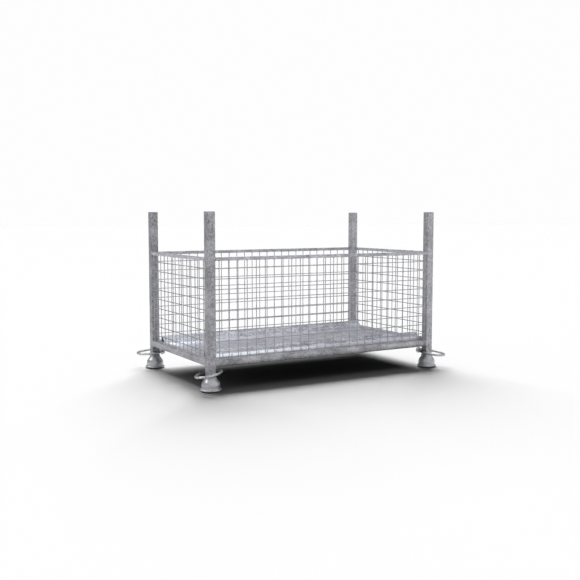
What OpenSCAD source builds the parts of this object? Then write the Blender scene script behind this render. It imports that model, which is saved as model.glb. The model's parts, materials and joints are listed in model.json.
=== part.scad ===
// Stackable wire mesh container on four bell feet, with lifting rings.
// Frame: origin at the middle of the base, front towards -Y, +Z up, millimetres.

/* [Overall] */
// Length over the posts
outer_length = 1640; // [1500:10:1800]
// Width over the posts
outer_width = 930; // [850:10:1000]
// Height from the ground to the post tops
overall_height = 1030; // [950:10:1100]

/* [Posts] */
// Side of the square tube
post_side = 50; // [45:1:50]
// Wall of the square tube
post_wall = 3; // [2:0.5:4]
// Outside corner radius of the square tube
post_corner = 5; // [4.5:0.5:6]

/* [Rails] */
// Height of the front and back lower rails' underside above the ground
long_rail_bottom = 140; // [138:1:145]
// Height of the left and right lower rails' underside above the ground
short_rail_bottom = 145; // [140:1:147]
// Height of a lower rail's section
lower_rail_height = 40; // [35:1:50]
// Height of the top rails' upper face above the ground
top_rail_top = 770; // [700:5:850]
// Side of a top rail's square section
top_rail_side = 20; // [18:1:25]
// Wall of every rail and bearer
rail_wall = 2.5; // [2:0.5:3]

/* [Floor] */
// Thickness of the floor sheet
sheet_thickness = 3; // [2:0.5:4]
// Drop from the long rails' upper face to the floor's upper face
floor_drop = 2; // [1.5:0.5:4]
// Height of the edge strips above the floor's upper face
edge_strip_height = 26; // [20:1:40]
// Leg of the ridge angles that carry the load clear of the sheet
ridge_leg = 64; // [40:1:65]
// Thickness of the ridge angles
ridge_thickness = 5; // [3:1:6]
// Distance from a ridge's crest to the middle of the nearest long rail
ridge_inset = 100; // [90:1:150]
// Length of a ridge's end that laps onto the short rail
ridge_lap = 10; // [8:1:20]
// Width of a cross bearer
bearer_width = 40; // [30:1:60]
// Height of a cross bearer
bearer_height = 30; // [25:1:32]
// Distance between neighbouring cross bearers
bearer_spacing = 385; // [300:5:450]

/* [Mesh] */
// Diameter of the mesh wires
wire_diameter = 5; // [4:0.5:6]
// Spacing of the mesh wires
mesh_pitch = 60; // [50:5:75]
// Height of the lowest level wire above the ground
first_level_wire = 225; // [205:5:235]
// Distance from the front left post to the first upright wire of the front
front_offset = 25; // [15:1:30]
// Distance from the back left post to the first upright wire of the back
back_offset = 57; // [30:1:60]

/* [Bell feet] */
// Outside radius of the rim
bell_rim_radius = 63; // [60:1:66]
// Height of the bell
bell_height = 75; // [74:0.5:76]
// Radius of the socket that the post of the container below enters
socket_radius = 36; // [35:0.5:36.5]
// Length of the socket's straight wall
socket_length = 26; // [20:1:27]

/* [Lifting rings] */
// Diameter of the round bar
ring_bar = 15; // [14:0.5:15.5]
// Bend radius of the ring's two half circles, to the bar's centre
ring_bend = 70; // [69:0.5:72]
// Straight length between the two half circles
ring_straight = 32; // [28:1:36]
// Distance from the post's centre to the eye of the keeper lug
eye_inset = 54; // [53:0.5:55]
// Height of the eye above the ground
eye_height = 108; // [107:0.5:109]
// Radius of the eye's hole
eye_radius = 9.5; // [9.2:0.1:10]
// Outside radius of the lug around the eye
lug_radius = 18; // [17:0.5:19]
// Thickness of the lug plate
lug_thickness = 10; // [8:1:10]

/* [Hidden] */
$fn = 96;
post_x = (outer_length - post_side) / 2;
post_y = (outer_width - post_side) / 2;
inner_x = post_x - post_side / 2;
inner_y = post_y - post_side / 2;
long_rail_top = long_rail_bottom + lower_rail_height;
short_rail_top = short_rail_bottom + lower_rail_height;
floor_top = long_rail_top - floor_drop;
sheet_bottom = floor_top - sheet_thickness;
top_rail_bottom = top_rail_top - top_rail_side;
top_rail_x = outer_length / 2 - top_rail_side / 2;
top_rail_y = outer_width / 2 - top_rail_side / 2;
rail_corner = 4;
top_rail_corner = 3;
bore_corner = 1.5;
strip_thickness = 3;
bell_crown = 12;
bell_shoulder = bell_height - 27;
cut_margin = 1;
lug_base = 24;
ridge_crest = ridge_leg / sqrt(2);
ridge_foot = ridge_thickness * sqrt(2);
// Clear space left between the last wire of a row and the piece beyond it
end_margin = 20;
level_count = floor((top_rail_bottom - first_level_wire - end_margin) / mesh_pitch) + 1;
front_first = -inner_x + front_offset;
front_count = floor((2 * inner_x - 2 * end_margin) / mesh_pitch) + 1;
back_first = -inner_x + back_offset;
back_count = front_count - 1;
short_count = floor((2 * inner_y - 2 * end_margin) / mesh_pitch) + 1;
short_first = -(short_count - 1) * mesh_pitch / 2;
steel = [0.68, 0.70, 0.72];
dull_steel = [0.60, 0.62, 0.64];
wire_steel = [0.74, 0.76, 0.78];
cast_steel = [0.56, 0.58, 0.60];

// Corner signs, direction pointing away from the container, and how each ring lies at rest
FRONT_LEFT = [-1, -1, 225];
FRONT_RIGHT = [1, -1, 315];
BACK_LEFT = [-1, 1, 135];
BACK_RIGHT = [1, 1, 45];
// Angles at rest: outer end down, then one side up
rest_front_left = [2.5, 8.5];
rest_front_right = [9, 0];
rest_back_left = [4, -3.5];
rest_back_right = [5, 2];

// ---- shared shapes ----

module rounded_rectangle(width, height, radius) {
    square([width - 2 * radius, height], center = true);
    square([width, height - 2 * radius], center = true);
    for (sx = [-1, 1], sy = [-1, 1])
        translate([sx * (width / 2 - radius), sy * (height / 2 - radius)])
            circle(r = radius);
}

// Hollow section standing on z = 0
module hollow_section(width, height, length, wall, radius) {
    linear_extrude(length)
        difference() {
            rounded_rectangle(width, height, radius);
            rounded_rectangle(width - 2 * wall, height - 2 * wall, max(radius - wall, bore_corner));
        }
}

// Hollow section along X, centred on the origin
module section_along_x(width, height, length, wall, radius) {
    rotate([0, 90, 0])
        translate([0, 0, -length / 2])
            hollow_section(height, width, length, wall, radius);
}

module section_along_y(width, height, length, wall, radius) {
    rotate([0, 0, 90])
        section_along_x(width, height, length, wall, radius);
}

module at_post(corner) {
    translate([corner[0] * post_x, corner[1] * post_y, 0])
        children();
}

// ---- posts and bell feet ----

module post(corner) {
    color(steel)
        at_post(corner)
            translate([0, 0, bell_height])
                hollow_section(post_side, post_side, overall_height - bell_height, post_wall, post_corner);
}

// Outline of the bell's outside: rim, drum, shoulder and neck
function bell_outside() = [
    [0, 0], [bell_rim_radius, 0], [bell_rim_radius, 6],
    [bell_rim_radius - 2, 9.5], [bell_rim_radius - 8, 13], [bell_rim_radius - 9, 17],
    [bell_rim_radius - 9, bell_shoulder - 11], [bell_rim_radius - 10, bell_shoulder - 5],
    [bell_rim_radius - 12, bell_shoulder], [bell_rim_radius - 15.5, bell_shoulder + 6.5],
    [bell_rim_radius - 20, bell_height - 14.5], [bell_rim_radius - 24.5, bell_height - 8.5],
    [bell_rim_radius - 28, bell_height - 3], [bell_rim_radius - 29, bell_height], [0, bell_height]
];

// Flared mouth that leads the post of the container below into the socket
function bell_inside(ceiling) = [
    [0, -cut_margin], [bell_rim_radius - 6, -cut_margin], [bell_rim_radius - 6, 2],
    [bell_rim_radius - 15, 12], [bell_rim_radius - 16.5, 20],
    [socket_radius, ceiling - socket_length], [socket_radius, ceiling], [0, ceiling]
];

module bell_foot(corner) {
    color(cast_steel)
        at_post(corner)
            rotate_extrude()
                difference() {
                    polygon(bell_outside());
                    polygon(bell_inside(bell_height - bell_crown));
                }
}

// ---- lifting rings ----

// Local frame with its origin in the eye of the lug and +X pointing away from the container
module at_eye(corner) {
    at_post(corner)
        rotate([0, 0, corner[2]])
            translate([-eye_inset, 0, eye_height])
                children();
}

// Upright plate welded to the post's inner corner, with the eye that the ring swings in
module ring_lug(corner) {
    color(cast_steel)
        difference() {
            at_eye(corner)
                rotate([90, 0, 0])
                    translate([0, 0, -lug_thickness / 2])
                        linear_extrude(lug_thickness)
                            difference() {
                                union() {
                                    circle(r = lug_radius);
                                    translate([0, -lug_base / 2])
                                        square([eye_inset - post_side / 2, lug_base]);
                                }
                                circle(r = eye_radius);
                            }
            at_post(corner)
                linear_extrude(overall_height)
                    rounded_rectangle(post_side, post_side, post_corner);
        }
}

// Round bar bent to a closed oval that passes through the eye
module lifting_ring(corner, rest) {
    color(dull_steel)
        at_eye(corner)
            rotate([rest[1], rest[0], 0])
                translate([ring_bend + ring_straight / 2, 0, 0]) {
                    for (side = [-1, 1])
                        translate([side * ring_straight / 2, 0, 0])
                            rotate([0, 0, side * -90])
                                rotate_extrude(angle = 180)
                                    translate([ring_bend, 0])
                                        circle(d = ring_bar);
                    for (side = [-1, 1])
                        translate([-ring_straight / 2, side * ring_bend, 0])
                            rotate([0, 90, 0])
                                cylinder(d = ring_bar, h = ring_straight);
                }
}

// ---- rails ----

module lower_rail_long(side) {
    color(steel)
        translate([0, side * post_y, long_rail_bottom + lower_rail_height / 2])
            section_along_x(post_side, lower_rail_height, 2 * inner_x, rail_wall, rail_corner);
}

module lower_rail_short(side) {
    color(steel)
        translate([side * post_x, 0, short_rail_bottom + lower_rail_height / 2])
            section_along_y(post_side, lower_rail_height, 2 * inner_y, rail_wall, rail_corner);
}

module top_rail_long(side) {
    color(steel)
        translate([0, side * top_rail_y, top_rail_top - top_rail_side / 2])
            section_along_x(top_rail_side, top_rail_side, 2 * inner_x, rail_wall, top_rail_corner);
}

module top_rail_short(side) {
    color(steel)
        translate([side * top_rail_x, 0, top_rail_top - top_rail_side / 2])
            section_along_y(top_rail_side, top_rail_side, 2 * inner_y, rail_wall, top_rail_corner);
}

// ---- floor ----

module floor_sheet() {
    color(dull_steel)
        translate([-inner_x, -inner_y, sheet_bottom])
            cube([2 * inner_x, 2 * inner_y, sheet_thickness]);
}

// Flat bar on edge along a long rail, which keeps loose load off the mesh
module edge_strip(side) {
    color(steel)
        translate([-inner_x, side * (inner_y - strip_thickness / 2) - strip_thickness / 2, floor_top])
            cube([2 * inner_x, strip_thickness, edge_strip_height]);
}

// Angle laid with its corner up, notched at both ends to lie on the short rails
module floor_ridge(side) {
    half_length = inner_x + ridge_lap;
    color(dull_steel)
        difference() {
            translate([-half_length, side * (post_y - ridge_inset), floor_top])
                rotate([90, 0, 90])
                    linear_extrude(2 * half_length)
                        polygon([
                            [-ridge_crest, 0], [0, ridge_crest], [ridge_crest, 0],
                            [ridge_crest - ridge_foot, 0], [0, ridge_crest - ridge_foot],
                            [ridge_foot - ridge_crest, 0]
                        ]);
            for (end = [-1, 1])
                translate([end * post_x, 0, short_rail_top - lower_rail_height / 2])
                    cube([post_side, outer_width, lower_rail_height], center = true);
        }
}

module cross_bearer(place) {
    color(dull_steel)
        translate([place * bearer_spacing, 0, sheet_bottom - bearer_height / 2])
            section_along_y(bearer_width, bearer_height, 2 * inner_y, rail_wall, rail_corner);
}

// ---- mesh ----

// Wires from the lower rail up to the top rail, spaced along X from the first place
module upright_wires(first, count, bottom) {
    for (i = [0 : count - 1])
        translate([first + i * mesh_pitch, 0, bottom])
            cylinder(d = wire_diameter, h = top_rail_bottom - bottom);
}

// Wires from post to post along X
module level_wires(length) {
    for (i = [0 : level_count - 1])
        translate([-length / 2, 0, first_level_wire + i * mesh_pitch])
            rotate([0, 90, 0])
                cylinder(d = wire_diameter, h = length);
}

// The upright wires lie outside, the level wires inside, and they touch under the top rail
module long_side_uprights(side, first, count) {
    color(wire_steel)
        translate([0, side * (top_rail_y + wire_diameter / 2), 0])
            upright_wires(first, count, long_rail_top);
}

module long_side_levels(side) {
    color(wire_steel)
        translate([0, side * (top_rail_y - wire_diameter / 2), 0])
            level_wires(2 * inner_x);
}

module short_side_uprights(side) {
    color(wire_steel)
        translate([side * (top_rail_x + wire_diameter / 2), 0, 0])
            rotate([0, 0, 90])
                upright_wires(short_first, short_count, short_rail_top);
}

module short_side_levels(side) {
    color(wire_steel)
        translate([side * (top_rail_x - wire_diameter / 2), 0, 0])
            rotate([0, 0, 90])
                level_wires(2 * inner_y);
}

// ---- the nodes ----

post(FRONT_LEFT);  // post_front_left
post(FRONT_RIGHT);  // post_front_right
post(BACK_LEFT);  // post_back_left
post(BACK_RIGHT);  // post_back_right
bell_foot(FRONT_LEFT);  // bell_foot_front_left
bell_foot(FRONT_RIGHT);  // bell_foot_front_right
bell_foot(BACK_LEFT);  // bell_foot_back_left
bell_foot(BACK_RIGHT);  // bell_foot_back_right
ring_lug(FRONT_LEFT);  // ring_lug_front_left
ring_lug(FRONT_RIGHT);  // ring_lug_front_right
ring_lug(BACK_LEFT);  // ring_lug_back_left
ring_lug(BACK_RIGHT);  // ring_lug_back_right
lifting_ring(FRONT_LEFT, rest_front_left);  // lifting_ring_front_left
lifting_ring(FRONT_RIGHT, rest_front_right);  // lifting_ring_front_right
lifting_ring(BACK_LEFT, rest_back_left);  // lifting_ring_back_left
lifting_ring(BACK_RIGHT, rest_back_right);  // lifting_ring_back_right
lower_rail_long(-1);  // lower_rail_front
lower_rail_long(1);  // lower_rail_back
lower_rail_short(-1);  // lower_rail_left
lower_rail_short(1);  // lower_rail_right
top_rail_long(-1);  // top_rail_front
top_rail_long(1);  // top_rail_back
top_rail_short(-1);  // top_rail_left
top_rail_short(1);  // top_rail_right
floor_sheet();
edge_strip(-1);  // edge_strip_front
edge_strip(1);  // edge_strip_back
floor_ridge(-1);  // floor_ridge_front
floor_ridge(1);  // floor_ridge_back
cross_bearer(-1);  // cross_bearer_left
cross_bearer(0);  // cross_bearer_middle
cross_bearer(1);  // cross_bearer_right
long_side_uprights(-1, front_first, front_count);  // mesh_front_upright_wires
long_side_levels(-1);  // mesh_front_level_wires
long_side_uprights(1, back_first, back_count);  // mesh_back_upright_wires
long_side_levels(1);  // mesh_back_level_wires
short_side_uprights(-1);  // mesh_left_upright_wires
short_side_levels(-1);  // mesh_left_level_wires
short_side_uprights(1);  // mesh_right_upright_wires
short_side_levels(1);  // mesh_right_level_wires
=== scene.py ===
"""Stackable wire mesh container: zinc finishes, welds, bell feet, floor, light and camera."""
import json
import math
import random

import bmesh
import bpy
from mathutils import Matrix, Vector


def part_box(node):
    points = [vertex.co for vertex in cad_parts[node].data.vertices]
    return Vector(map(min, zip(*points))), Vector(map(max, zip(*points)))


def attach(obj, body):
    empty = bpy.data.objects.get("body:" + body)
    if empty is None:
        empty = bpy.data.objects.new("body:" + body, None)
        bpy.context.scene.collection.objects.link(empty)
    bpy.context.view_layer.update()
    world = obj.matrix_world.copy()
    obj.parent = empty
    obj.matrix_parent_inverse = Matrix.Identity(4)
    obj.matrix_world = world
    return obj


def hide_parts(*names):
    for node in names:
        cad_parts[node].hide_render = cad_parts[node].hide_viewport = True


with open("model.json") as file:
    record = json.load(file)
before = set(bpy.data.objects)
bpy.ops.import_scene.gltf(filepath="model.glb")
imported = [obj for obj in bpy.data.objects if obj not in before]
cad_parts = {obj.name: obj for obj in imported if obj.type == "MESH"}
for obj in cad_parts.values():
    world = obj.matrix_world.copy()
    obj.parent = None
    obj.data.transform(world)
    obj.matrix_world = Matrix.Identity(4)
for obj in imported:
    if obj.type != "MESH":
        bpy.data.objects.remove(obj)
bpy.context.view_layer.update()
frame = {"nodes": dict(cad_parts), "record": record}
scene = bpy.context.scene
Z = Vector((0, 0, 1))
CORNERS = ("front_left", "front_right", "back_left", "back_right")
SIDES = ("front", "back", "left", "right")

# ---- camera ----

camera_data = bpy.data.cameras.new("camera")
camera_data.lens = 51.63
camera_data.sensor_width = 36
camera_data.clip_start, camera_data.clip_end = 0.1, 200
camera = bpy.data.objects.new("camera", camera_data)
scene.collection.objects.link(camera)
camera.location = (-2.7825, -4.7492, 1.0015)
camera.rotation_euler = (math.radians(90 - 5.0525), 0, math.radians(-30.275))
scene.camera = camera


# ---- materials ----

class Graph:
    """The nodes of a material or a world, made one call each."""

    def __init__(self, owner):
        owner.use_nodes = True
        self.tree = owner.node_tree
        self.tree.nodes.clear()

    def node(self, kind, inputs=(), **settings):
        made = self.tree.nodes.new(kind)
        for key, value in settings.items():
            setattr(made, key, value)
        for key, value in dict(inputs).items():
            if isinstance(value, bpy.types.NodeSocket):
                self.tree.links.new(value, made.inputs[key])
            else:
                made.inputs[key].default_value = value
        return made

    def math(self, operation, a, b):
        return self.node("ShaderNodeMath", {0: a, 1: b}, operation=operation).outputs[0]

    def weighted(self, total, signal, weight):
        """total plus weight times how far signal is from a half."""
        off = self.math("SUBTRACT", signal, 0.5)
        return self.math("ADD", total, self.math("MULTIPLY", off, weight))

    def mix(self, factor, a, b, blend="MIX"):
        made = self.node("ShaderNodeMix", {0: factor, 6: a, 7: b}, data_type="RGBA", blend_type=blend)
        return made.outputs[2]

    def noise(self, vector, scale, detail, roughness, distortion=0.0):
        made = self.node("ShaderNodeTexNoise", {
            "Vector": vector, "Scale": scale, "Detail": detail,
            "Roughness": roughness, "Distortion": distortion})
        return made.outputs[0]

    def cells(self, vector, scale):
        """One value per crystal of the zinc."""
        made = self.node("ShaderNodeTexVoronoi", {"Vector": vector, "Scale": scale, "Randomness": 1.0})
        split = self.node("ShaderNodeSeparateColor", {0: made.outputs["Color"]})
        return split.outputs[0]

    def ramp(self, factor, stops):
        made = self.node("ShaderNodeValToRGB", {0: factor})
        elements = made.color_ramp.elements
        while len(elements) < len(stops):
            elements.new(0.5)
        for element, (place, colour) in zip(elements, stops):
            element.position = place
            element.color = (*colour, 1)
        return made.outputs[0]


def zinc(name, dark, light, along=None, spangle=0.2, speckle=1.5, cloud=0.8, streak=0.35,
         metallic=0.85, roughness=(0.38, 0.58), bump=0.3, size=1.0, edge=0.0, painted_highlight=None, bands=()):
    """Hot-dip zinc: crystals, speckle, clouds and runs along one axis, with its own roughness and relief.

    Each band paints light and shade into the colour: an axis, and pairs of a distance along it from the
    origin, in metres, and the factor by which the colour is lightened or darkened there. A painted highlight,
    standing in for a reflection, can be given too: where along X it is at full strength, where it has ended,
    and its colour; there the zinc is also smoother and more metallic.
    """
    material = bpy.data.materials.new(name)
    g = Graph(material)
    place = g.node("ShaderNodeTexCoord").outputs["Object"]
    stretch = [1.0, 1.0, 1.0]
    thin = [1.0, 1.0, 1.0]
    if along is not None:
        stretch["XYZ".index(along)] = 0.8
        thin["XYZ".index(along)] = 0.12
    drawn = g.node("ShaderNodeMapping", {"Vector": place, "Scale": stretch}).outputs[0]
    runs = g.node("ShaderNodeMapping", {"Vector": place, "Scale": thin}).outputs[0]
    crystal = g.cells(drawn, 110 / size)
    grain = g.noise(drawn, 75 / size, 3.0, 0.6, 0.5)
    broad = g.noise(place, 9 / size, 3.0, 0.5, 0.6)
    lines = g.noise(runs, 60 / size, 2.0, 0.5)
    tone = g.weighted(0.5, crystal, spangle)
    tone = g.weighted(tone, grain, speckle)
    tone = g.weighted(tone, broad, cloud)
    tone = g.weighted(tone, lines, streak)
    middle = [(a + b) / 2 for a, b in zip(dark, light)]
    colour = g.ramp(tone, [(0.12, dark), (0.5, middle), (0.88, light)])
    hue = g.noise(place, 13 / size, 2.0, 0.5)
    tint = g.ramp(hue, [(0.36, (0.97, 0.99, 1.03)), (0.64, (1.02, 0.985, 1.02))])
    colour = g.mix(1.0, colour, tint, "MULTIPLY")
    apart = g.node("ShaderNodeSeparateXYZ", {0: place})
    # Painted light and shade: each band multiplies the colour by a factor along one axis
    for axis, stops in bands:
        far, near = stops[-1][0], stops[0][0]
        distance = g.math("ABSOLUTE", apart.outputs["XYZ".index(axis)], 0.0)
        spot = g.node("ShaderNodeMapRange", {"Value": distance, "From Min": near, "From Max": far}).outputs[0]
        level = g.ramp(spot, [((at - near) / (far - near), (value,) * 3) for at, value in stops])
        colour = g.mix(1.0, colour, level, "MULTIPLY")
    shine = metallic
    # Painted highlight: a reflection painted into the colour towards one end, with more metal and less
    # roughness there
    if painted_highlight is not None:
        highlight_full_at, highlight_gone_at, highlight_colour = painted_highlight
        wander = g.weighted(apart.outputs[0], g.noise(place, 4.0, 2.0, 0.5), 0.2)
        highlight_amount = g.node("ShaderNodeMapRange", {
            "Value": wander, "From Min": highlight_full_at, "From Max": highlight_gone_at,
            "To Min": 1.0, "To Max": 0.0}, interpolation_type="SMOOTHSTEP").outputs[0]
        colour = g.mix(highlight_amount, colour, highlight_colour)
        shine = g.node("ShaderNodeMapRange", {
            "Value": highlight_amount, "From Min": 0.0, "From Max": 1.0,
            "To Min": metallic, "To Max": 1.0}).outputs[0]
    rough = g.node("ShaderNodeMapRange", {
        "Value": g.weighted(g.weighted(0.5, crystal, 0.35), grain, 1.6),
        "From Min": 0.15, "From Max": 0.85, "To Min": roughness[0], "To Max": roughness[1]}).outputs[0]
    if painted_highlight is not None:
        rough = g.math("MULTIPLY", rough, g.math("SUBTRACT", 1.0, g.math("MULTIPLY", highlight_amount, 0.6)))
    relief = g.weighted(g.weighted(0.5, grain, 0.8), g.noise(place, 260 / size, 2.0, 0.6), 0.35)
    bumped = g.node("ShaderNodeBump", {"Height": relief, "Strength": bump, "Distance": 0.0012 * size})
    if edge:
        rounded = g.node("ShaderNodeBevel", {"Radius": edge}, samples=4)
        g.tree.links.new(rounded.outputs[0], bumped.inputs["Normal"])
    shader = g.node("ShaderNodeBsdfPrincipled", {
        "Base Color": colour, "Metallic": shine, "Roughness": rough, "Normal": bumped.outputs[0]})
    g.node("ShaderNodeOutputMaterial", {"Surface": shader.outputs[0]})
    return material


def grey(value, blue=1.05):
    """A bluish grey."""
    return (value, value * (1 + (blue - 1) * 0.2), value * blue)


# The posts are one zinc in two copies: the right posts' copy is painted lighter, against the shade that falls
# on their inner faces
posts_left = zinc("galvanised_post_left", grey(0.17, 1.03), grey(0.53, 1.03), "Z", spangle=0.3,
                  speckle=1.7, streak=0.15, size=0.85, edge=0.0012)
posts_right_painted_lighter = zinc("galvanised_post_right", grey(0.25, 1.03), grey(0.62, 1.03), "Z", spangle=0.3,
                   speckle=1.7, streak=0.15, size=0.85, edge=0.0012)
# The band along Z paints light and shade: painted shade darkening the face towards its bottom edge, where the
# dark ground is reflected, a painted sheen in its upper half, and darker again at the top edge
rails_x = zinc("galvanised_rail_x", grey(0.22, 1.03), grey(0.66, 1.03), "X", speckle=1.3, cloud=1.4,
               edge=0.002,
               bands=[("Z", [(0.140, 0.25), (0.147, 0.52), (0.160, 0.90), (0.174, 1.0), (0.180, 0.74)])])
# The bands paint light and shade: a painted highlight along the inner top edge, the rest of the top and the
# outer face darker, and painted shade towards the bottom edge
rails_y = zinc("galvanised_rail_y", grey(0.34), grey(0.80), "Y", edge=0.001,
               bands=[("X", [(0.770, 1.0), (0.778, 1.0), (0.788, 0.74), (0.81, 0.66), (0.82, 0.72)]),
                      ("Z", [(0.145, 0.70), (0.153, 0.92), (0.180, 1.0), (0.185, 1.0)])])
bearer_zinc = zinc("galvanised_bearer", grey(0.24), grey(0.60), "Y", edge=0.001)
top_x = zinc("galvanised_top_rail_x", grey(0.26), grey(0.68), "X", edge=0.001)
top_y = zinc("galvanised_top_rail_y", grey(0.36), grey(0.78), "Y", edge=0.001)
# The colour of a painted highlight
PAINTED_HIGHLIGHT_COLOUR = (0.90, 0.94, 1.0, 1)
# The floor sheet and its ridges: a painted highlight, standing in for a reflection of the light, strongest at
# the left end and gone by the middle
sheet_zinc = zinc("galvanised_sheet", grey(0.30, 1.09), grey(0.74, 1.09), "X", spangle=0.5, speckle=1.5,
                  cloud=0.9, streak=1.4, roughness=(0.30, 0.50), size=0.9, painted_highlight=(-1.55, 0.0, PAINTED_HIGHLIGHT_COLOUR))
# The edge strips: a painted highlight, standing in for a reflection, full at their left ends and gone just
# right of the middle
strip_zinc = zinc("galvanised_strip", grey(0.54, 1.08), grey(0.84, 1.08), "X", speckle=0.9,
                  roughness=(0.32, 0.44), bump=0.04, painted_highlight=(-0.46, 0.15, PAINTED_HIGHLIGHT_COLOUR))
foot_zinc = zinc("galvanised_foot", grey(0.44, 1.02), grey(0.72, 1.02), speckle=1.2, cloud=1.2, bump=0.12,
                 roughness=(0.33, 0.45), metallic=0.85)
bar_zinc = zinc("galvanised_bar", grey(0.38, 1.02), grey(0.70, 1.02), speckle=1.1, size=0.8,
                roughness=(0.22, 0.38), metallic=0.95)
wire_zinc = zinc("galvanised_wire", grey(0.26), grey(0.56), speckle=1.1, size=0.6, roughness=(0.30, 0.48))
weld_zinc = zinc("galvanised_weld", grey(0.28), grey(0.60), speckle=1.6, size=0.5, roughness=(0.32, 0.54))


def finish(node, material):
    slots = frame["nodes"][node].data.materials
    if len(slots) == 0:
        slots.append(material)
    for i in range(len(slots)):
        slots[i] = material


for corner in CORNERS:
    finish(f"post_{corner}", posts_right_painted_lighter if corner.endswith("right") else posts_left)
    finish(f"bell_foot_{corner}", foot_zinc)
    finish(f"ring_lug_{corner}", foot_zinc)
    finish(f"lifting_ring_{corner}", bar_zinc)
for side in SIDES:
    finish(f"lower_rail_{side}", rails_x if side in ("front", "back") else rails_y)
    finish(f"top_rail_{side}", top_x if side in ("front", "back") else top_y)
    finish(f"mesh_{side}_upright_wires", wire_zinc)
    finish(f"mesh_{side}_level_wires", wire_zinc)
finish("floor_sheet", sheet_zinc)
for side in ("front", "back"):
    finish(f"edge_strip_{side}", strip_zinc)
    finish(f"floor_ridge_{side}", sheet_zinc)
for place in ("left", "middle", "right"):
    finish(f"cross_bearer_{place}", bearer_zinc)


# ---- shared mesh code ----

def add_piece(name, vertices, faces, material, body, slot, sharp):
    """A closed shell, smooth but for edges sharper than an angle in degrees."""
    mesh = bpy.data.meshes.new(name)
    mesh.from_pydata(vertices, [], faces)
    shell = bmesh.new()
    shell.from_mesh(mesh)
    bmesh.ops.recalc_face_normals(shell, faces=shell.faces)
    shell.to_mesh(mesh)
    shell.free()
    mesh.materials.append(material)
    mesh.polygons.foreach_set("use_smooth", [True] * len(mesh.polygons))
    mesh.set_sharp_from_angle(angle=math.radians(sharp))
    mesh.update()
    made = bpy.data.objects.new(name, mesh)
    scene.collection.objects.link(made)
    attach(made, body)
    return made


class Beads:
    """Weld beads and zinc blobs collected into one mesh."""

    AROUND = 8      # points round a bead's section
    SCALE = 0.0046  # length of one scale of a bead

    def __init__(self, seed):
        self.vertices, self.faces = [], []
        self.random = random.Random(seed)

    def track(self, points, outs, width, height, closed=False):
        """A bead of overlapping scales along points, half sunk in the surface that faces outs."""
        first, count, around = len(self.vertices), len(points), self.AROUND
        travelled = [0.0]
        for a, b in zip(points, points[1:]):
            travelled.append(travelled[-1] + (b - a).length)
        total = travelled[-1]
        phase, drift = self.random.random() * 3, self.random.random() * 6
        for i, (point, out, at) in enumerate(zip(points, outs, travelled)):
            before = points[i - 1] if i or closed else point
            after = points[(i + 1) % count] if i + 1 < count or closed else point
            side = (after - before).normalized().cross(out).normalized()
            ripple = (at / self.SCALE + phase) % 1.0
            taper = 1.0 if closed else min(1.0, min(at, total - at) / 0.003 + 0.05) ** 0.5
            swell = 0.86 + 0.22 * (1 - ripple)
            centre = point + side * (0.0004 * math.sin(at * 260 + drift))
            wide = width / 2 * taper * (0.95 + 0.08 * swell)
            high = height * taper * swell
            for k in range(around):
                angle = 2 * math.pi * k / around
                self.vertices.append(centre + side * wide * math.cos(angle) + out * high * math.sin(angle))
        for i in range(count if closed else count - 1):
            here, there = first + i * around, first + (i + 1) % count * around
            for k in range(around):
                turn = (k + 1) % around
                self.faces.append((here + k, here + turn, there + turn, there + k))
        if not closed:
            last = first + (count - 1) * around
            self.faces.append(tuple(first + k for k in reversed(range(around))))
            self.faces.append(tuple(last + k for k in range(around)))

    def bead(self, start, end, out, width=0.007, height=0.0022, step=0.0016):
        """A straight bead."""
        start, end, out = Vector(start), Vector(end), Vector(out).normalized()
        count = max(6, int((end - start).length / step))
        points = [start.lerp(end, i / count) for i in range(count + 1)]
        self.track(points, [out] * len(points), width, height)

    def blob(self, centre, radii, rough):
        """A small lump of zinc."""
        ball = bmesh.new()
        bmesh.ops.create_icosphere(ball, subdivisions=2, radius=1.0)
        first = len(self.vertices)
        for v in ball.verts:
            grow = 1 + rough * (self.random.random() - 0.5)
            self.vertices.append(Vector(centre) + Vector([c * r * grow for c, r in zip(v.co, radii)]))
        for f in ball.faces:
            self.faces.append(tuple(first + v.index for v in f.verts))
        ball.free()

    def piece(self, name, body="container", slot="galvanised_rail"):
        return add_piece(name, self.vertices, self.faces, weld_zinc, body, slot, 70)


# ---- where things are ----

posts = {corner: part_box(f"post_{corner}") for corner in CORNERS}


def axes(side):
    """The axis that a side runs along, and the one across it."""
    return (0, 1) if side in ("front", "back") else (1, 0)


def at_side(side, along, across, z):
    """A point, or three sizes, given along and across a side."""
    return Vector((along, across, z) if axes(side)[0] == 0 else (across, along, z))


# ---- welds between rails and posts ----

def rail_welds(kind, seed, width, height):
    """A bead round each end of the four rails of one kind."""
    beads = Beads(seed)
    inset, proud = 0.003, 0.0012
    for side in SIDES:
        low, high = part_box(f"{kind}_rail_{side}")
        axis, other = axes(side)
        across = at_side(side, 0, 1, 0)
        u0, u1, z0, z1 = low[other], high[other], low.z, high.z
        for end, hand in ((low, 1), (high, -1)):
            inward = at_side(side, hand, 0, 0) * proud
            for start, stop, out in (
                    ((u0 + inset, z1), (u1 - inset, z1), Z),
                    ((u0 + inset, z0), (u1 - inset, z0), -Z),
                    ((u0, z0 + inset), (u0, z1 - inset), -across),
                    ((u1, z0 + inset), (u1, z1 - inset), across)):
                first = at_side(side, end[axis], *start) + inward
                last = at_side(side, end[axis], *stop) + inward
                beads.bead(first, last, out, width, height)
    return beads


rail_welds("lower", 11, 0.009, 0.0022).piece("lower_rail_welds")
rail_welds("top", 12, 0.006, 0.0016).piece("top_rail_welds")

# ---- mesh welds ----

PITCH = 0.06
WIRE_RADIUS = 0.0025
SUNK = 0.0008       # how far a blob at a wire's end is inside the wire
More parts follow.
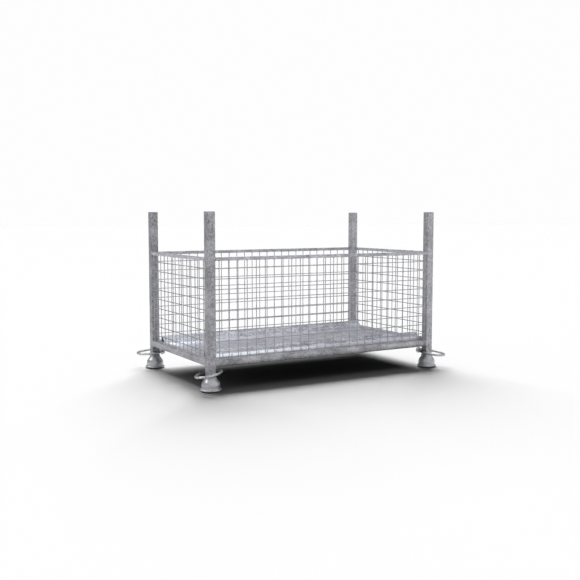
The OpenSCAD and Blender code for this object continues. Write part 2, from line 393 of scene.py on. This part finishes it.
# Radii of the blobs, along the side, across it and upwards
CROSSING = (0.0040, 0.0030, 0.0040)
FOOT = (0.0052, 0.0048, 0.0030)
HEAD = (0.0048, 0.0040, 0.0028)
LEVEL_END = (0.0030, 0.0048, 0.0050)


def row(low, high):
    """Wire centres between two outer surfaces."""
    first, last = low + WIRE_RADIUS, high - WIRE_RADIUS
    count = round((last - first) / PITCH)
    return [first + i * PITCH for i in range(count + 1)]


for number, side in enumerate(SIDES):
    axis, other = axes(side)
    upright_low, upright_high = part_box(f"mesh_{side}_upright_wires")
    level_low, level_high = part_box(f"mesh_{side}_level_wires")
    upright_u = (upright_low[other] + upright_high[other]) / 2
    level_u = (level_low[other] + level_high[other]) / 2
    nuggets = Beads(30 + number)

    def nugget(along, across, z, radii, rough):
        nuggets.blob(at_side(side, along, across, z), at_side(side, *radii), rough)

    heights = row(level_low.z, level_high.z)
    for a in row(upright_low[axis], upright_high[axis]):
        for z in heights:
            nugget(a, (upright_u + level_u) / 2, z, CROSSING, 0.2)
        nugget(a, upright_u, upright_low.z + SUNK, FOOT, 0.25)
        nugget(a, upright_u, upright_high.z - SUNK, HEAD, 0.25)
    for z in heights:
        for end in (level_low[axis] + SUNK, level_high[axis] - SUNK):
            nugget(end, level_u, z, LEVEL_END, 0.25)
    nuggets.piece(f"mesh_{side}_welds", slot="galvanised_wire")


# ---- bell feet ----

def softened(outline, radius, steps=4):
    """The outline with every inner corner turned into a short curve."""
    soft = [outline[0]]
    for before, corner, after in zip(outline, outline[1:], outline[2:]):
        before, corner, after = Vector(before), Vector(corner), Vector(after)
        cut = min(radius, 0.45 * (before - corner).length, 0.45 * (after - corner).length)
        enter = corner + (before - corner).normalized() * cut
        leave = corner + (after - corner).normalized() * cut
        for i in range(steps + 1):
            t = i / steps
            soft.append(tuple(enter.lerp(corner, t).lerp(corner.lerp(leave, t), t)))
    soft.append(outline[-1])
    return soft


def lathe(outline, centre):
    """A closed turned solid whose outline starts and ends on its axis."""
    segments = 96
    rings = outline[1:-1]
    vertices = []
    for radius, height in rings:
        for k in range(segments):
            angle = 2 * math.pi * k / segments
            vertices.append((centre[0] + radius * math.cos(angle), centre[1] + radius * math.sin(angle),
                             centre[2] + height))
    faces = []
    for i in range(len(rings) - 1):
        for k in range(segments):
            turn = (k + 1) % segments
            faces.append((i * segments + k, (i + 1) * segments + k,
                          (i + 1) * segments + turn, i * segments + turn))
    ends = ((0, outline[0][1], False), ((len(rings) - 1) * segments, outline[-1][1], True))
    for row_start, height, flip in ends:
        pole = len(vertices)
        vertices.append((centre[0], centre[1], centre[2] + height))
        for k in range(segments):
            a, b = row_start + k, row_start + (k + 1) % segments
            faces.append((a, pole, b) if flip else (a, b, pole))
    return vertices, faces


RIM = 0.063         # the rim's radius
BELL = 0.075        # the bell's height
SOFT = 0.0025       # how much of each corner is curved
bell_outline = [
    (0, 0.063), (0.036, 0.063), (0.036, 0.037), (RIM - 0.0165, 0.020), (RIM - 0.015, 0.012),
    (RIM - 0.010, 0.002), (RIM - 0.010, 0), (RIM - 0.007, 0), (RIM, 0.0065), (RIM, 0.0095),
    (RIM - 0.0025, 0.0125), (RIM - 0.008, 0.0155), (RIM - 0.009, 0.019), (RIM - 0.009, 0.037),
    (RIM - 0.010, 0.043), (RIM - 0.012, 0.048), (RIM - 0.0155, 0.0545), (RIM - 0.020, 0.0605),
    (RIM - 0.0245, 0.0665), (RIM - 0.028, 0.072), (RIM - 0.029, BELL), (0, BELL)
]
for corner in CORNERS:
    low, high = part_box(f"bell_foot_{corner}")
    centre = ((low.x + high.x) / 2, (low.y + high.y) / 2, low.z)
    bell = add_piece(f"bell_{corner}", *lathe(softened(bell_outline, SOFT), centre), foot_zinc,
                     "container", "galvanised_foot", 50)
    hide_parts(f"bell_foot_{corner}")


# ---- welds at the feet ----

def square_track(centre, half, corner_radius, z):
    """Points and outward directions round a rounded square."""
    spacing = 0.0018
    points, outs = [], []
    straight = half - corner_radius
    for quarter in range(4):
        turn = math.radians(90 * quarter)
        along = Vector((-math.sin(turn), math.cos(turn), 0))
        away = Vector((math.cos(turn), math.sin(turn), 0))
        steps = int(2 * straight / spacing)
        for i in range(steps):
            points.append(centre + away * half + along * (2 * straight * i / steps - straight))
            outs.append(away)
        for i in range(5):
            angle = turn + math.radians(18 * i)
            out = Vector((math.cos(angle), math.sin(angle), 0))
            points.append(centre + (away + along) * straight + out * corner_radius)
            outs.append(out)
    for point in points:
        point.z = z
    return points, [(out + Z).normalized() for out in outs]


for number, corner in enumerate(CORNERS):
    low, high = posts[corner]
    centre = (low + high) / 2
    half = (high.x - low.x) / 2
    welds = Beads(50 + number)
    points, outs = square_track(centre, half + 0.0008, 0.0058, low.z + 0.0008)
    welds.track(points, outs, 0.0085, 0.0040, closed=True)
    lug_low, lug_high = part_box(f"ring_lug_{corner}")
    inward = Vector((-math.copysign(1, centre.x), -math.copysign(1, centre.y), 0)).normalized()
    across = Vector((inward.y, -inward.x, 0))
    base = centre + inward * (half * math.sqrt(2) - 0.0005)
    middle_z = (lug_low.z + lug_high.z) / 2
    for hand in (-1, 1):
        foot = base + across * (hand * 0.0056)
        out = (inward + across * hand).normalized()
        welds.bead((foot.x, foot.y, middle_z - 0.011), (foot.x, foot.y, middle_z + 0.011), out, 0.007, 0.0028)
    welds.piece(f"foot_welds_{corner}", slot="galvanised_foot")


# ---- floor welds ----

floor_low, floor_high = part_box("floor_sheet")
stitches = Beads(60)


def stitch(start, end, out, width, height):
    """A short weld on the sheet between two places in plan."""
    stitches.bead((*start, floor_high.z), (*end, floor_high.z), out, width, height, step=0.0024)


for side in ("front", "back"):
    hand = -1 if side == "front" else 1
    low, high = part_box(f"floor_ridge_{side}")
    for edge, face in ((low.y, -1), (high.y, 1)):
        for i in range(9):
            x = low.x + 0.07 + i * 0.17 + stitches.random.uniform(-0.006, 0.006)
            stitch((x, edge), (x + 0.032, edge), (0, face, 1), 0.007, 0.0030)
    low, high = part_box(f"edge_strip_{side}")
    inner = low.y if side == "back" else high.y
    for i in range(12):
        x = low.x + 0.04 + i * 0.13 + stitches.random.uniform(-0.006, 0.006)
        stitch((x, inner), (x + 0.026, inner), (0, -hand, 1), 0.006, 0.0026)
for end, hand in ((floor_low.x, 1), (floor_high.x, -1)):
    for i in range(7):
        y = floor_low.y + 0.06 + i * 0.11 + stitches.random.uniform(-0.006, 0.006)
        # Clear of the ridges, whose crests are 0.34 m either side of the middle
        if abs(abs(y + 0.015) - 0.34) > 0.07:
            stitch((end, y), (end, y + 0.03), (hand, 0, 1), 0.007, 0.0030)
stitches.piece("floor_welds", slot="galvanised_sheet")

under = Beads(61)
for place in ("left", "middle", "right"):
    low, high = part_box(f"cross_bearer_{place}")
    for end, hand in ((low.y, 1), (high.y, -1)):
        under.bead((low.x, end, low.z + 0.003), (low.x, end, high.z - 0.002), (-1, hand, 0), 0.006, 0.0024)
        under.bead((high.x, end, low.z + 0.003), (high.x, end, high.z - 0.002), (1, hand, 0), 0.006, 0.0024)
        under.bead((low.x + 0.003, end, low.z), (high.x - 0.003, end, low.z), (0, hand, -1), 0.006, 0.0024)
under.piece("bearer_welds", slot="galvanised_rail")


# ---- the butt weld that closes each ring, and drops of zinc ----

STRAIGHT_HALF = 0.0175      # half the ring's straight, and a little over
BEAD_RADIUS = 0.0072

for number, joint in enumerate(frame["record"]["behaviour"]["joints"]):
    corner = joint["child"].replace("ring_", "")
    ring = frame["nodes"][f"lifting_ring_{corner}"]
    eye = Vector(joint["pos_m"])
    low, high = posts[corner]
    post = (low + high) / 2
    outward = Vector((post.x - eye.x, post.y - eye.y, 0)).normalized()
    across = Z.cross(outward)
    spots = [ring.matrix_world @ v.co for v in ring.data.vertices]
    # The bar's straight on one side of the oval, where its two ends meet
    side_of = 1 if number % 2 else -1

    def reach(p):
        return (p - eye).dot(outward)

    middle = (min(map(reach, spots)) + max(map(reach, spots))) / 2
    near = [p for p in spots
            if (p - eye).dot(across) * side_of > 0 and abs(reach(p) - middle) < STRAIGHT_HALF]
    hub = sum(near, Vector()) / len(near)
    lean = max(spots, key=reach) - min(spots, key=reach)
    run = (lean - across * lean.dot(across)).normalized()
    first = run.orthogonal().normalized()
    second = run.cross(first)
    seam = Beads(70 + number)
    turns = [2 * math.pi * i / 30 for i in range(30)]
    outs = [first * math.cos(a) + second * math.sin(a) for a in turns]
    seam.track([hub + out * BEAD_RADIUS for out in outs], outs, 0.006, 0.0014, closed=True)
    seam.piece(f"ring_weld_{corner}", body=joint["child"], slot="galvanised_bar")


drops = Beads(80)
for side in SIDES:
    low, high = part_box(f"lower_rail_{side}")
    count, margin_x, margin_y = (10, 0.03, 0.008) if side in ("front", "back") else (6, 0.008, 0.03)
    for _ in range(count):
        x = drops.random.uniform(low.x + margin_x, high.x - margin_x)
        y = drops.random.uniform(low.y + margin_y, high.y - margin_y)
        drops.blob((x, y, low.z + 0.0002), (0.0022, 0.0022, drops.random.uniform(0.002, 0.005)), 0.15)
drops.piece("zinc_drops", slot="galvanised_rail")


# ---- studio ----

REACH = 80
outline = [(x * REACH, y * REACH, -0.0005) for x, y in ((-1, -1), (1, -1), (1, 1), (-1, 1))]
mesh = bpy.data.meshes.new("studio_floor")
mesh.from_pydata(outline, [], [(0, 1, 2, 3)])
matte = bpy.data.materials.new("studio_floor")
g = Graph(matte)
shader = g.node("ShaderNodeBsdfDiffuse", {"Color": (0.03, 0.03, 0.03, 1)})
g.node("ShaderNodeOutputMaterial", {"Surface": shader.outputs[0]})
mesh.materials.append(matte)
ground = bpy.data.objects.new("studio_floor", mesh)
scene.collection.objects.link(ground)

# The background is white to the camera. What lights the metal is brighter in front than behind
world = bpy.data.worlds.new("world")
scene.world = world
g = Graph(world)
AMBIENT = 0.50
SLOPE = (0.10, -0.24, 0.10)
direction = g.node("ShaderNodeTexCoord").outputs["Generated"]
leaning = g.node("ShaderNodeVectorMath", {0: direction, 1: SLOPE}, operation="DOT_PRODUCT")
glow = g.math("ADD", leaning.outputs["Value"], AMBIENT)
seen = g.node("ShaderNodeLightPath").outputs["Is Camera Ray"]
around = g.node("ShaderNodeBackground", {"Color": (1, 1, 1, 1), "Strength": glow})
backdrop = g.node("ShaderNodeBackground", {"Color": (1, 1, 1, 1), "Strength": 0.985})
chosen = g.node("ShaderNodeMixShader", {0: seen, 1: around.outputs[0], 2: backdrop.outputs[0]})
g.node("ShaderNodeOutputWorld", {"Surface": chosen.outputs[0]})


def sun(name, toward, strength, spread, only=None):
    """A sun in the direction toward, seen only by the objects of one collection if there is one."""
    data = bpy.data.lights.new(name, "SUN")
    data.energy = strength
    data.angle = math.radians(spread)
    made = bpy.data.objects.new(name, data)
    scene.collection.objects.link(made)
    made.rotation_euler = Vector(toward).to_track_quat("Z", "Y").to_euler()
    if only is not None:
        made.light_linking.receiver_collection = only


studio = bpy.data.collections.new("studio")
studio.objects.link(ground)
sun("ground_key", (0.39, 1.10, 1.0), 143.0, 44, studio)
sun("ground_fill", (-0.21, 0.57, 1.0), 9.5, 136, studio)
sun("key", (0.32, 0.38, 1.0), 0.9, 30)
sun("glint", (-0.57, 0.43, 0.79), 0.8, 30)

scene.view_settings.view_transform = "Standard"
